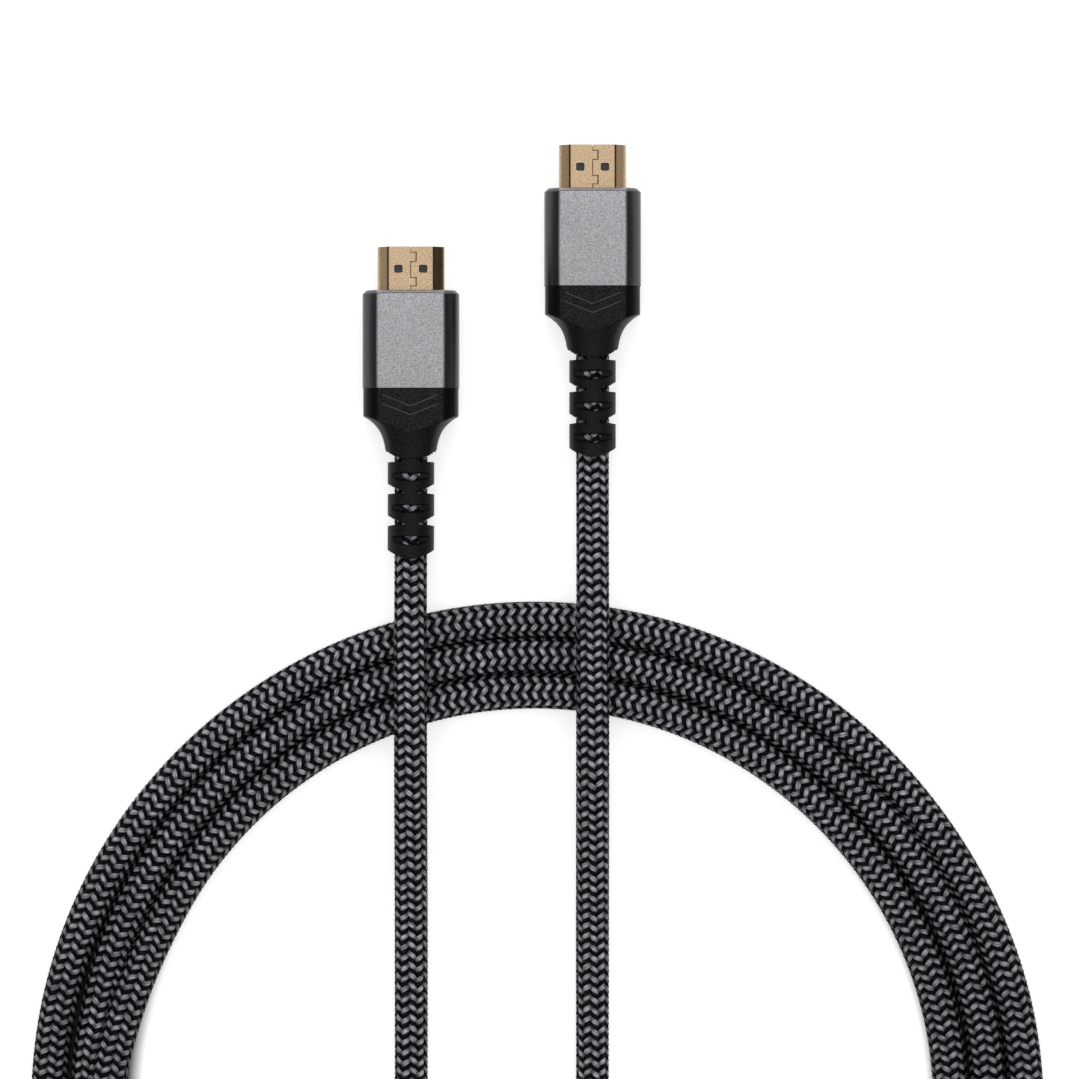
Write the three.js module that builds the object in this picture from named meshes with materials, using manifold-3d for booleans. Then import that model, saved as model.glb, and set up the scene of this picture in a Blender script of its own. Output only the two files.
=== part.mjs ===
// A digital audio and video cable with a gold-plated plug at each end, its braided jacket coiled in
// three turns. Millimetres, +Z up. The two connectors lie on the floor side by side with their tips
// towards +Y, and the coil lies behind them towards -Y. The origin is on the floor, at the middle of
// the box around both connectors.
import * as THREE from "three";
import { mergeVertices } from "three/addons/utils/BufferGeometryUtils.js";
import Module from "manifold-3d";

const wasm = await Module();
wasm.setup();

// Clearances
const gap = 0.3;

// Plug shell: a rolled metal tube, wide face down and seam face up
const shellWidth = 13.9;
const shellHeight = 4.45;
const shellTopWidth = 9.24;
const shellSideHeight = 2.12;
const shellCorner = 0.45;
const shellWall = 0.35;
const shellExposed = 9.1;
const shellInside = 3;
const latchHoleWidth = 1.75;
const latchHoleLength = 1.65;
const latchHoleFromTip = 4.6;
const latchHoleOffset = 2.55;

// Insulator with the tongue slot, and the contacts in it
const insulatorSetback = 0.9;
const slotWidth = 11.2;
const slotHeight = 1.9;
const slotDepth = 7.4;
const contactPitch = 1;
const contactWidth = 0.45;
const contactThickness = 0.2;
const contactLength = 6.2;
const contactSetback = 0.7;
const upperContacts = 10;
const lowerContacts = 9;

// Aluminium housing: a sleeve with a front wall
const housingWidth = 20;
const housingHeight = 12;
const housingLength = 20.2;
const housingBevel = 3.125;
const housingFlat = housingWidth - 2 * housingBevel;
const housingShoulder = 4.1;
const housingRounding = 2.6;
const housingCrease = 0.15;
const housingChamfer = 0.75;
const housingWall = 1.2;
const frontWall = 1.3;

// Moulded collar, neck and strain relief, one piece
const collarStep = 0.15;
const collarFlat = housingFlat - 0.85;
const collarLength = 5.7;
const shoulderLength = 8;
const neckRadius = 5.1;
const reliefRadius = 4.82;
const reliefLead = 0.45;
const reliefPitch = 6.55;
const reliefSegments = 3;
const reliefEnd = 1;
const chamferDepth = 0.95;
const chamferLength = 0.65;
const sideSlot = 1.15;
const slotWeb = 2.46;
const windowWidth = 8.3;
const windowLength = 2;
const windowFloor = 1.7;
const chevronHeight = 0.12;
const chevronHalfWidth = 5.7;
const chevronDrop = 2.3;
const chevronBand = 1.75;
const chevronFromHousing = 1.6;

// Cable
const cableDiameter = 6.9;
const cableSides = 10;
const cableInRelief = 24;
const coilCentreX = 6.7;
const coilCentreY = -156.4;
const coilRadius = 100.7;
const turnPitch = 7.4;
const turns = 3;
const coilStretch = 36;
const crossingShift = 3.4;
const crossingStandOff = 1.9;

// Where the two connectors lie
const connectorSpacing = 37.6;
const connectorStagger = 21.1;

// Sizes that follow
const cableRadius = cableDiameter / 2;
const axisHeight = housingHeight / 2;
const housingRear = shellExposed + housingLength;
const shoulderStart = housingRear + collarLength;
const reliefStart = shoulderStart + shoulderLength;
const reliefLength = reliefLead + reliefSegments * reliefPitch + reliefEnd;
const connectorLength = reliefStart + reliefLength;
const tipA = (connectorLength - connectorStagger) / 2;
const tipB = tipA + connectorStagger;
const overTurns = cableRadius + cableDiameter + gap;

const gold = new THREE.MeshStandardMaterial({ color: 0xb9995f, roughness: 0.32, metalness: 1 });
const contactGold = new THREE.MeshStandardMaterial({ color: 0xd8ae58, roughness: 0.25, metalness: 1 });
const insulatorBlack = new THREE.MeshStandardMaterial({ color: 0x24272c, roughness: 0.55, metalness: 0 });
const anodised = new THREE.MeshStandardMaterial({ color: 0x75777b, roughness: 0.4, metalness: 1 });
const mouldedBlack = new THREE.MeshStandardMaterial({ color: 0x141414, roughness: 0.45, metalness: 0 });
const braid = new THREE.MeshStandardMaterial({ color: 0x3b3d42, roughness: 0.7, metalness: 0 });

// Joining and cutting

function toSolid(geometry) {
  const bare = geometry.clone();
  bare.deleteAttribute("normal");
  bare.deleteAttribute("uv");
  const merged = mergeVertices(bare, 1e-5);
  return new wasm.Manifold(new wasm.Mesh({
    numProp: 3,
    vertProperties: Float32Array.from(merged.attributes.position.array),
    triVerts: Uint32Array.from(merged.index.array),
  }));
}

function toGeometry(solid) {
  const mesh = solid.getMesh();
  const geometry = new THREE.BufferGeometry();
  geometry.setAttribute("position", new THREE.BufferAttribute(Float32Array.from(mesh.vertProperties), 3));
  geometry.setIndex(new THREE.BufferAttribute(Uint32Array.from(mesh.triVerts), 1));
  geometry.computeVertexNormals();
  return geometry;
}

// Outlines and the bodies made from them

// Corners as [x, y, radius], each rounded by a curve that starts and ends its radius away
function roundedOutline(corners) {
  const shape = new THREE.Shape();
  corners.forEach(([x, y, radius], i) => {
    const corner = new THREE.Vector2(x, y);
    const before = corners[(i + corners.length - 1) % corners.length];
    const after = corners[(i + 1) % corners.length];
    const towards = (other) => new THREE.Vector2(other[0], other[1]).sub(corner).setLength(radius).add(corner);
    const start = towards(before);
    const end = towards(after);
    if (i === 0) shape.moveTo(start.x, start.y);
    else shape.lineTo(start.x, start.y);
    shape.quadraticCurveTo(x, y, end.x, end.y);
  });
  shape.closePath();
  return shape;
}

// The outline's x and y become the connector's x and z, and it runs back from the front
function runBack(shape, front, length, options = {}) {
  const body = new THREE.ExtrudeGeometry(shape, { depth: length, bevelEnabled: false, curveSegments: 3, ...options });
  return body.rotateX(Math.PI / 2).translate(0, -front, 0);
}

// The outline is seen from above, and it rises from the bottom height to the top height
function runUp(shape, bottom, top) {
  const options = { depth: top - bottom, bevelEnabled: false, curveSegments: 6 };
  return new THREE.ExtrudeGeometry(shape, options).translate(0, 0, bottom);
}

function block(width, length, height, x, y, z) {
  return new THREE.BoxGeometry(width, length, height).translate(x, y, z);
}

// The plug's outline, taken in by a wall all round: the upper corners are cut at 45 degrees
function plugOutline(inset, corner) {
  const half = shellWidth / 2 - inset;
  const bottom = -shellHeight / 2 + inset;
  const top = shellHeight / 2 - inset;
  const topHalf = shellTopWidth / 2 - inset * Math.tan(Math.PI / 8);
  const sideTop = -shellHeight / 2 + shellSideHeight - inset * Math.tan(Math.PI / 8);
  return roundedOutline([
    [-half, bottom, corner],
    [half, bottom, corner],
    [half, sideTop, corner],
    [topHalf, top, corner],
    [-topHalf, top, corner],
    [-half, sideTop, corner],
  ]);
}

// The outline of the housing and of what fills it: flat faces above and below, and bevels that
// round over into the sides
function sleeveOutline(inset, flat) {
  const half = housingWidth / 2 - inset;
  const top = housingHeight / 2 - inset;
  const shoulder = housingShoulder - inset / 3;
  const rounding = housingRounding - inset / 2;
  const flatHalf = flat / 2;
  return roundedOutline([
    [-half, -shoulder, rounding],
    [-flatHalf, -top, housingCrease],
    [flatHalf, -top, housingCrease],
    [half, -shoulder, rounding],
    [half, shoulder, rounding],
    [flatHalf, top, housingCrease],
    [-flatHalf, top, housingCrease],
    [-half, shoulder, rounding],
  ]);
}

// The pieces of a connector, its tip at y 0 and its axis at z 0

function plugShell() {
  const length = shellExposed + shellInside;
  const tube = plugOutline(0, shellCorner);
  tube.holes.push(plugOutline(shellWall, shellCorner - 0.2));
  const cuts = [-latchHoleOffset, latchHoleOffset].map((x) => {
    const hole = block(latchHoleWidth, latchHoleLength, shellHeight + 2, x, -latchHoleFromTip, 0);
    return toSolid(hole);
  });
  return toGeometry(cuts.reduce((rest, cut) => rest.subtract(cut), toSolid(runBack(tube, 0, length))));
}

function plugInsulator() {
  const length = shellExposed + shellInside - insulatorSetback;
  const body = toSolid(runBack(plugOutline(shellWall + gap, 0.25), insulatorSetback, length));
  const slotMiddle = -insulatorSetback - slotDepth / 2 + 0.5;
  const slot = toSolid(block(slotWidth, slotDepth + 1, slotHeight, 0, slotMiddle, 0));
  return toGeometry(body.subtract(slot));
}

// One flat spring contact, against the upper or the lower face of the slot
function contact(index, count, side) {
  const x = (index - (count - 1) / 2) * contactPitch;
  const y = -insulatorSetback - contactSetback - contactLength / 2;
  const z = side * (slotHeight - contactThickness) / 2;
  return block(contactWidth, contactLength, contactThickness, x, y, z);
}

// A sleeve of two stretches: the short front one narrows towards its face by the chamfer
function chamferedBar(shape, front, length, chamfer) {
  const bar = runBack(shape, front, length, { steps: 2 });
  const places = bar.attributes.position;
  for (let i = 0; i < places.count; i += 1) {
    const back = -front - places.getY(i);
    if (back < 0.25 * length) {
      places.setX(i, places.getX(i) * (1 - chamfer / (housingWidth / 2)));
      places.setZ(i, places.getZ(i) * (1 - chamfer / (housingHeight / 2)));
    } else if (back < 0.75 * length) {
      places.setY(i, -front - chamfer);
    }
  }
  return bar;
}

function aluminiumHousing() {
  const outside = chamferedBar(sleeveOutline(0, housingFlat), shellExposed, housingLength, housingChamfer);
  const cavity = runBack(sleeveOutline(housingWall, housingFlat - 0.6), shellExposed + frontWall, housingLength);
  const mouth = runBack(plugOutline(-gap, shellCorner), shellExposed - 1, frontWall + 2);
  return toGeometry(toSolid(outside).subtract(toSolid(cavity)).subtract(toSolid(mouth)));
}

// The round part: shoulder, neck and strain relief, turned about the cable's axis. The neck and
// each segment of the relief end in a chamfer.
function turnedRelief() {
  const wide = housingWidth / 2 - collarStep;
  const point = (radius, place) => new THREE.Vector2(radius, place);
  const curve = new THREE.CubicBezierCurve(
    point(wide, shoulderStart),
    point(wide * 0.62, shoulderStart + 2.4),
    point(neckRadius + 0.5, shoulderStart + 5),
    point(neckRadius, reliefStart - 0.2),
  );
  const outline = [point(0, shoulderStart - 2), point(wide, shoulderStart - 2), ...curve.getPoints(8)];
  for (let i = 0; i <= reliefSegments; i += 1) {
    const slotFront = reliefStart + reliefLead + i * reliefPitch;
    outline.push(point(reliefRadius, slotFront - chamferLength));
    outline.push(point(reliefRadius - chamferDepth, slotFront));
    if (i < reliefSegments) {
      outline.push(point(reliefRadius - chamferDepth, slotFront + sideSlot));
      outline.push(point(reliefRadius, slotFront + sideSlot + 0.01));
    }
  }
  outline.push(point(reliefRadius - chamferDepth, connectorLength), point(0, connectorLength));
  return new THREE.LatheGeometry(outline, 28).rotateX(Math.PI);
}

// Cuts on the left and right of the strain relief leave a web above and below the cable
function reliefSlots() {
  const width = housingWidth;
  const cuts = [];
  for (let i = 0; i < reliefSegments; i += 1) {
    const y = -(reliefStart + reliefLead + sideSlot / 2 + i * reliefPitch);
    [-1, 1].forEach((side) => {
      cuts.push(block(width, sideSlot, width, side * (slotWeb + width) / 2, y, 0));
    });
  }
  return cuts;
}

// Windows above and below the cable leave a web on its left and right
function reliefWindows() {
  const half = windowWidth / 2;
  const solidLength = reliefPitch - sideSlot;
  const cuts = [];
  for (let i = 0; i < reliefSegments; i += 1) {
    const slotBack = reliefStart + reliefLead + sideSlot + i * reliefPitch;
    const front = -(slotBack + 0.38 * solidLength);
    const back = front - windowLength;
    const lens = new THREE.Shape();
    lens.moveTo(-half, front);
    lens.lineTo(half, front);
    lens.quadraticCurveTo(half * 0.7, back, 0, back);
    lens.quadraticCurveTo(-half * 0.7, back, -half, front);
    cuts.push(runUp(lens, windowFloor, housingHeight));
    cuts.push(runUp(lens, -housingHeight, -windowFloor));
  }
  return cuts;
}

// A raised chevron on the collar's upper and lower face, pointing at the cable
function chevrons() {
  const face = housingHeight / 2 - collarStep;
  const start = -(housingRear + chevronFromHousing);
  const band = new THREE.Shape([
    new THREE.Vector2(-chevronHalfWidth, start),
    new THREE.Vector2(-chevronHalfWidth, start - chevronBand),
    new THREE.Vector2(0, start - chevronBand - chevronDrop),
    new THREE.Vector2(chevronHalfWidth, start - chevronBand),
    new THREE.Vector2(chevronHalfWidth, start),
    new THREE.Vector2(0, start - chevronDrop),
  ]);
  return [
    runUp(band, face - 0.5, face + chevronHeight),
    runUp(band, -face - chevronHeight, -face + 0.5),
  ];
}

function mouldedCollar() {
  const blockFront = shellExposed + shellInside + gap;
  const filling = sleeveOutline(housingWall + gap, housingFlat - 0.9);
  const collar = sleeveOutline(collarStep, collarFlat);
  const inner = toSolid(runBack(filling, blockFront, housingRear - blockFront + 0.5));
  const outer = toSolid(runBack(collar, housingRear, collarLength));
  const clip = toSolid(runBack(collar, housingRear, connectorLength));
  const round = toSolid(turnedRelief()).intersect(clip);
  const bore = new THREE.CylinderGeometry(cableRadius + gap, cableRadius + gap, cableInRelief + 1, 20);
  bore.translate(0, -(connectorLength - cableInRelief / 2 + 0.5), 0);
  let solid = inner.add(outer).add(round);
  chevrons().forEach((relief) => {
    solid = solid.add(toSolid(relief));
  });
  [...reliefSlots(), ...reliefWindows(), bore].forEach((cut) => {
    solid = solid.subtract(toSolid(cut));
  });
  return toGeometry(solid);
}

// The cable

// A smooth step from 0 to 1 between two places along the cable
function easeBetween(start, end, place) {
  const share = THREE.MathUtils.clamp((place - start) / (end - start), 0, 1);
  return share * share * (3 - 2 * share);
}

// How far a tail's axis rises above its plug's axis on its way over the turns
function liftAt(climb, y) {
  return (overTurns - axisHeight) * easeBetween(climb.start, climb.end, y);
}

const climbA = { start: -30, end: -58 };
const climbB = { start: -28, end: -56 };
const fall = { start: -75, end: -127 };

// Bends the strain relief with the cable where the cable starts to climb inside it
function bendWithCable(geometry, tip, climb) {
  const places = geometry.attributes.position;
  for (let i = 0; i < places.count; i += 1) {
    places.setZ(i, places.getZ(i) + liftAt(climb, places.getY(i) + tip));
  }
  geometry.computeVertexNormals();
  return geometry;
}

// A round bar along a smooth curve through the points
function tube(points, steps = 38) {
  const path = new THREE.CatmullRomCurve3(points.map((p) => new THREE.Vector3(...p)), false, "centripetal");
  const section = new THREE.Shape();
  for (let i = 0; i < cableSides; i += 1) {
    const angle = (2 * Math.PI * (i + 0.5)) / cableSides;
    const place = [cableRadius * Math.cos(angle), cableRadius * Math.sin(angle)];
    if (i === 0) section.moveTo(...place);
    else section.lineTo(...place);
  }
  section.closePath();
  return new THREE.ExtrudeGeometry(section, { steps, extrudePath: path, bevelEnabled: false });
}

// A tail's straight stretch: out of its plug, up over the turns and down to the floor
function straightTail(x, tip, climb, places) {
  const start = tip - connectorLength + cableInRelief - gap;
  return [start, ...places].map((y) => {
    const drop = (overTurns - cableRadius) * easeBetween(fall.start, fall.end, y);
    return [x, y, axisHeight + liftAt(climb, y) - drop];
  });
}

// On from the left plug, round inside the coil to its right side
function tailA() {
  const places = [-24, -30, -36, -42, -48, -54, -60, -68, -77, -88, -98, -108, -118, -130, -160, -192];
  return tube([
    ...straightTail(-connectorSpacing / 2, tipA, climbA, places),
    [-14.5, -215, cableRadius],
    [1, -235, cableRadius],
    [26, -245.5, cableRadius],
    [51, -240, cableRadius],
    [69.5, -221, cableRadius],
    [77.5, -203, cableRadius],
    [82, -182, cableRadius],
  ]);
}

// On from the right plug, over the other tail and round to the coil's left side
function tailB() {
  const places = [-10, -28, -34, -40, -46, -52, -58, -66, -76, -87, -97, -107, -117, -129];
  const x = connectorSpacing / 2;
  return tube([
    ...straightTail(x, tipB, climbB, places),
    [x, -160, cableRadius + 0.3],
    [x, -187, cableRadius + 3],
    [15.5, -209, cableRadius + 6.2],
    [3.5, -227, overTurns + 0.1],
    [-15.5, -236, overTurns - 0.4],
    [-38, -233, cableRadius + 3.6],
    [-57.5, -219.5, cableRadius + 0.6],
    [-64, -203, cableRadius],
    [-68.5, -184, cableRadius],
  ]);
}

// Where the cable crosses from the inner turn over the others to the outer one, in degrees round
// the coil: it climbs, moves outwards in two steps, and comes down
const crossing = { start: 146, end: 356, climb: [151, 185], clear: [156, 190], over: [190, 340], down: [318, 352] };

function turnsCrossing() {
  const inner = coilRadius - (turns - 1) * turnPitch;
  const outer = coilRadius + crossingStandOff;
  const points = [];
  for (let degrees = crossing.start; degrees <= crossing.end; degrees += 10) {
    const radius = inner + crossingShift * easeBetween(...crossing.clear, degrees)
      + (outer - inner - crossingShift) * easeBetween(...crossing.over, degrees);
    const height = cableRadius + (overTurns - cableRadius)
      * (easeBetween(...crossing.climb, degrees) - easeBetween(...crossing.down, degrees));
    const angle = THREE.MathUtils.degToRad(degrees);
    const stretch = Math.sin(angle) < 0 ? coilStretch : 0;
    points.push([radius * Math.cos(angle), (radius + stretch) * Math.sin(angle), height]);
  }
  return tube(points, 42);
}

// The three turns as one ring, with a lobe for each turn, and the crossing on top of them. Away
// from the plugs the ring is an oval: each point moves out by a length that grows with the sine
// of its angle.
function coil() {
  const arc = (radius, from, to) => {
    const points = [];
    for (let i = 0; i <= 4; i += 1) {
      const angle = THREE.MathUtils.degToRad(from + ((to - from) * i) / 4);
      points.push(new THREE.Vector2(
        radius + (turnPitch / 2) * Math.cos(angle),
        cableRadius + cableRadius * Math.sin(angle),
      ));
    }
    return points;
  };
  const outline = [];
  for (let i = turns - 1; i >= 0; i -= 1) {
    outline.push(...arc(coilRadius - i * turnPitch, i === turns - 1 ? 180 : 210, i === 0 ? 360 : 330));
  }
  for (let i = 0; i < turns; i += 1) {
    outline.push(...arc(coilRadius - i * turnPitch, i === 0 ? 0 : 30, i === turns - 1 ? 180 : 150));
  }
  const clean = outline.filter((p, i) => i === 0 || p.distanceTo(outline[i - 1]) > 1e-6);
  clean[clean.length - 1] = clean[0].clone();
  const ring = new THREE.LatheGeometry(clean, 64).rotateX(Math.PI / 2);
  const places = ring.attributes.position;
  for (let i = 0; i < places.count; i += 1) {
    const radius = Math.hypot(places.getX(i), places.getY(i));
    if (places.getY(i) < 0) places.setY(i, places.getY(i) * (1 + coilStretch / radius));
  }
  return toGeometry(toSolid(ring).add(toSolid(turnsCrossing()))).translate(coilCentreX, coilCentreY, 0);
}

// The whole cable

const cable = new THREE.Group();

function addPiece(group, name, geometry, material) {
  const mesh = new THREE.Mesh(geometry, material);
  mesh.name = name;
  group.add(mesh);
}

function addConnector(letter, x, tip, climb) {
  const connector = new THREE.Group();
  connector.position.set(x, tip, axisHeight);
  addPiece(connector, `plug_shell_${letter}`, plugShell(), gold);
  addPiece(connector, `plug_insulator_${letter}`, plugInsulator(), insulatorBlack);
  for (let i = 0; i < upperContacts; i += 1) {
    addPiece(connector, `contact_${letter}_upper_${i + 1}`, contact(i, upperContacts, 1), contactGold);
  }
  for (let i = 0; i < lowerContacts; i += 1) {
    addPiece(connector, `contact_${letter}_lower_${i + 1}`, contact(i, lowerContacts, -1), contactGold);
  }
  addPiece(connector, `aluminium_housing_${letter}`, aluminiumHousing(), anodised);
  const collar = bendWithCable(mouldedCollar(), tip, climb);
  addPiece(connector, `strain_relief_${letter}`, collar, mouldedBlack);
  cable.add(connector);
}

addConnector("a", -connectorSpacing / 2, tipA, climbA);
addConnector("b", connectorSpacing / 2, tipB, climbB);
addPiece(cable, "cable_tail_a", tailA(), braid);
addPiece(cable, "cable_tail_b", tailB(), braid);
addPiece(cable, "cable_coil", coil(), braid);

export default cable;
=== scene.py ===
import bmesh
import bpy
import numpy as np
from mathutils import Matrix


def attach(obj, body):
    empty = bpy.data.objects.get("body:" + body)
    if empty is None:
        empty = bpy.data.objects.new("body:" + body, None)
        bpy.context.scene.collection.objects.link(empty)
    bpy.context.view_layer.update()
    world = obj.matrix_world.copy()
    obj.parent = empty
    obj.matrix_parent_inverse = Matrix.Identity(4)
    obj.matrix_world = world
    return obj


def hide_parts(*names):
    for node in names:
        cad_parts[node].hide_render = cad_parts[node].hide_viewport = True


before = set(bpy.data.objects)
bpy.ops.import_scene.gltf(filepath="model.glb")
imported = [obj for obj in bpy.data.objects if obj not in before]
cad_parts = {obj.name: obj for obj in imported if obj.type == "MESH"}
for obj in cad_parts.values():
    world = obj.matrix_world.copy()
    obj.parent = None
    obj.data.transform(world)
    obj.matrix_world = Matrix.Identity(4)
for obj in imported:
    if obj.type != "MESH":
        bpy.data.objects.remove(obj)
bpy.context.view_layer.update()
mm = 0.001
print("frame loaded")

# Camera: straight down through a long lens, with the photograph's framing
photo = {
    "pixels": 1079,
    "mmPerPixel": 0.2068,
    "originX": 501.7,  # the pixel that lies over the row's origin
    "originY": 350.5,
    "lens": 200.0,
    "sensor": 36.0,
    "sharpHeight": 8.0,  # the height where a pixel is mmPerPixel wide
}


# The lens sees the whole picture at the sharp height: distance = width times lens over sensor
def makeCamera():
    middle = photo["pixels"] / 2
    x = (middle - photo["originX"]) * photo["mmPerPixel"]
    y = (photo["originY"] - middle) * photo["mmPerPixel"]
    away = photo["pixels"] * photo["mmPerPixel"] * photo["lens"] / photo["sensor"]
    data = bpy.data.cameras.new("camera")
    data.lens, data.sensor_width = photo["lens"], photo["sensor"]
    data.clip_start, data.clip_end = 0.01, 20
    camera = bpy.data.objects.new("camera", data)
    camera.location = (x * mm, y * mm, (photo["sharpHeight"] + away) * mm)
    bpy.context.collection.objects.link(camera)
    bpy.context.scene.camera = camera


makeCamera()

# Where the connectors lie, and the sizes that their pieces share, in millimetres
connector = {
    "shellWidth": 13.9, "shellTop": 9.24,  # the shell's width, and that of its upper face
    "flatHalf": 6.875,  # half the width of the housing's flat faces
    "axisHeight": 6.0,
    "x": {"a": -18.8, "b": 18.8},
    "tip": {"a": 21.5, "b": 42.6},
    "climb": {"a": (-30.0, -58.0), "b": (-28.0, -56.0)},  # where each tail starts and stops rising
    "housingFront": 9.1,  # from the tip, as all that follow
    "housingRear": 29.3,
    "collarEnd": 35.0,
    "reliefStart": 43.0,
    "end": 64.1,
}


# Quads of a grid of points that is stored row by row, open or closed either way
def gridFaces(rows, columns, wrapRows=False, wrapColumns=False):
    i = np.arange(rows if wrapRows else rows - 1)[:, None]
    j = np.arange(columns if wrapColumns else columns - 1)[None, :]
    below, right = (i + 1) % rows, (j + 1) % columns
    corners = [i * columns + j, i * columns + right, below * columns + right, below * columns + j]
    return np.stack(np.broadcast_arrays(*corners), axis=-1).reshape(-1, 4)


# Several bodies, each its points and faces, as one
def joined(bodies):
    starts = np.cumsum([0] + [len(points) for points, faces in bodies])
    points = np.concatenate([points for points, faces in bodies])
    return points, np.concatenate([faces + start for (p, faces), start in zip(bodies, starts)])


# The faces of a closed body, turned round if the sum of its signed tetrahedra is negative
def facingOut(points, faces):
    a, b, c, d = (points[faces[:, i]] for i in range(4))
    volume = np.einsum("ij,ij->i", a, np.cross(b, c) + np.cross(c, d)).sum()
    return faces if volume > 0 else faces[:, ::-1]


# A mesh object from points in millimetres and four-cornered faces, with its finish, smooth shading
# split at the sharp angle, and its own coordinates and values for the finish
def addPiece(name, points, faces, finish, sharp=None, uv=None, values=None, weld=False):
    mesh = bpy.data.meshes.new(name)
    mesh.vertices.add(len(points))
    mesh.vertices.foreach_set("co", (points * mm).astype(np.float32).ravel())
    mesh.loops.add(faces.size)
    mesh.loops.foreach_set("vertex_index", np.ascontiguousarray(faces, dtype=np.int32).ravel())
    mesh.polygons.add(len(faces))
    mesh.polygons.foreach_set("loop_start", np.arange(0, faces.size, 4, dtype=np.int32))
    mesh.update(calc_edges=True)
    if uv is not None:
        mesh.uv_layers.new(name="UVMap").data.foreach_set("uv", uv[faces].astype(np.float32).ravel())
    for key, numbers in (values or {}).items():
        mesh.attributes.new(key, "FLOAT", "POINT").data.foreach_set("value", numbers.astype(np.float32))
    if weld:
        merge = bmesh.new()
        merge.from_mesh(mesh)
        bmesh.ops.remove_doubles(merge, verts=merge.verts, dist=1e-7)
        merge.to_mesh(mesh)
        merge.free()
    mesh.shade_smooth()
    if sharp is not None:
        mesh.set_sharp_from_angle(angle=np.radians(sharp))
    mesh.materials.append(finish)
    piece = bpy.data.objects.new(name, mesh)
    bpy.context.collection.objects.link(piece)
    return piece


# Shader maths written as sums: a socket whose operators add Math nodes
class Socket:
    def __init__(self, recipe, output):
        self.recipe, self.output = recipe, output

    def maths(self, operation, *others):
        return self.recipe.node("Math", {"operation": operation}, [self, *others])

    def __add__(self, other):
        return self.maths("ADD", other)

    def __mul__(self, other):
        return self.maths("MULTIPLY", other)

    def __sub__(self, other):
        return self.maths("SUBTRACT", other)

    def __rsub__(self, other):
        return self.recipe.node("Math", {"operation": "SUBTRACT"}, [other, self])

    __radd__ = __add__
    __rmul__ = __mul__


# A material under construction: its node tree, with a short call for each kind of node it uses
class Recipe:
    def __init__(self, name):
        self.material = bpy.data.materials.new(name)
        self.material.use_nodes = True
        self.nodes, self.links = self.material.node_tree.nodes, self.material.node_tree.links
        self.nodes.clear()
        self.end = self.nodes.new("ShaderNodeOutputMaterial")
        self.surface = self.nodes.new("ShaderNodeBsdfPrincipled")
        self.links.new(self.surface.outputs[0], self.end.inputs["Surface"])

    def put(self, socket, value):
        if isinstance(value, Socket):
            self.links.new(value.output, socket)
        else:
            socket.default_value = value

    # Any node: its type, its settings first, then its sockets by place or by name
    def node(self, kind, settings, inputs=(), output=0):
        made = self.nodes.new("ShaderNode" + kind)
        for key, value in settings.items():
            setattr(made, key, value)
        pairs = inputs.items() if isinstance(inputs, dict) else enumerate(inputs)
        for key, value in pairs:
            self.put(made.inputs[key], value)
        return Socket(self, made.outputs[output])

    def mix(self, factor, first, second):
        made = self.nodes.new("ShaderNodeMix")
        made.data_type = "RGBA"
        self.put(made.inputs[0], factor)
        self.put(made.inputs[6], first)
        self.put(made.inputs[7], second)
        return Socket(self, made.outputs[2])

    # A value spread over a range of 0 to 1, from one number to another
    def spread(self, value, low, high, fromLow=0.0, fromHigh=1.0):
        return self.node("MapRange", {}, [value, fromLow, fromHigh, low, high])

    def absolute(self, value):
        return self.node("Math", {"operation": "ABSOLUTE"}, [value])

    # One coordinate of a place, named by its axis
    def along(self, axis, place):
        return self.node("SeparateXYZ", {}, [place], output=axis)

    def place(self, kind="Object"):
        return self.node("TexCoord", {}, output=kind)

    def stretched(self, vector, scale):
        return self.node("Mapping", {}, {"Vector": vector, "Scale": scale})

    def noise(self, vector, scale, detail=2.0, roughness=0.5):
        sockets = {"Vector": vector, "Scale": scale, "Detail": detail, "Roughness": roughness}
        return self.node("TexNoise", {}, sockets)

    def bump(self, height, distance, strength=1.0):
        sockets = {"Height": height, "Distance": distance, "Strength": strength}
        return self.node("Bump", {}, sockets)

    def finish(self, **sockets):
        for name, value in sockets.items():
            self.put(self.surface.inputs[name.replace("_", " ")], value)
        return self.material


# How far a point lies from the middle plane of its own connector: | |x| - connector x |
def fromMiddle(r, place):
    return r.absolute(r.absolute(r.along("X", place)) - connector["x"]["b"] * mm)


# Where the gold's painted shade lies, in millimetres
goldShade = {
    "upperHeight": (6.2, 6.6),  # only the shell's upper half has the bevels
    "bevelBlend": 0.2,
    "lineOffset": 0.1,  # from the crease to the middle of the dark line
    "line": (0.08, 0.22),  # half the line's width where it is dark, and where it has gone
    "rim": (0.4, 0.1),  # from the outer edge: where the rim starts, and where it is dark
}
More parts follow.
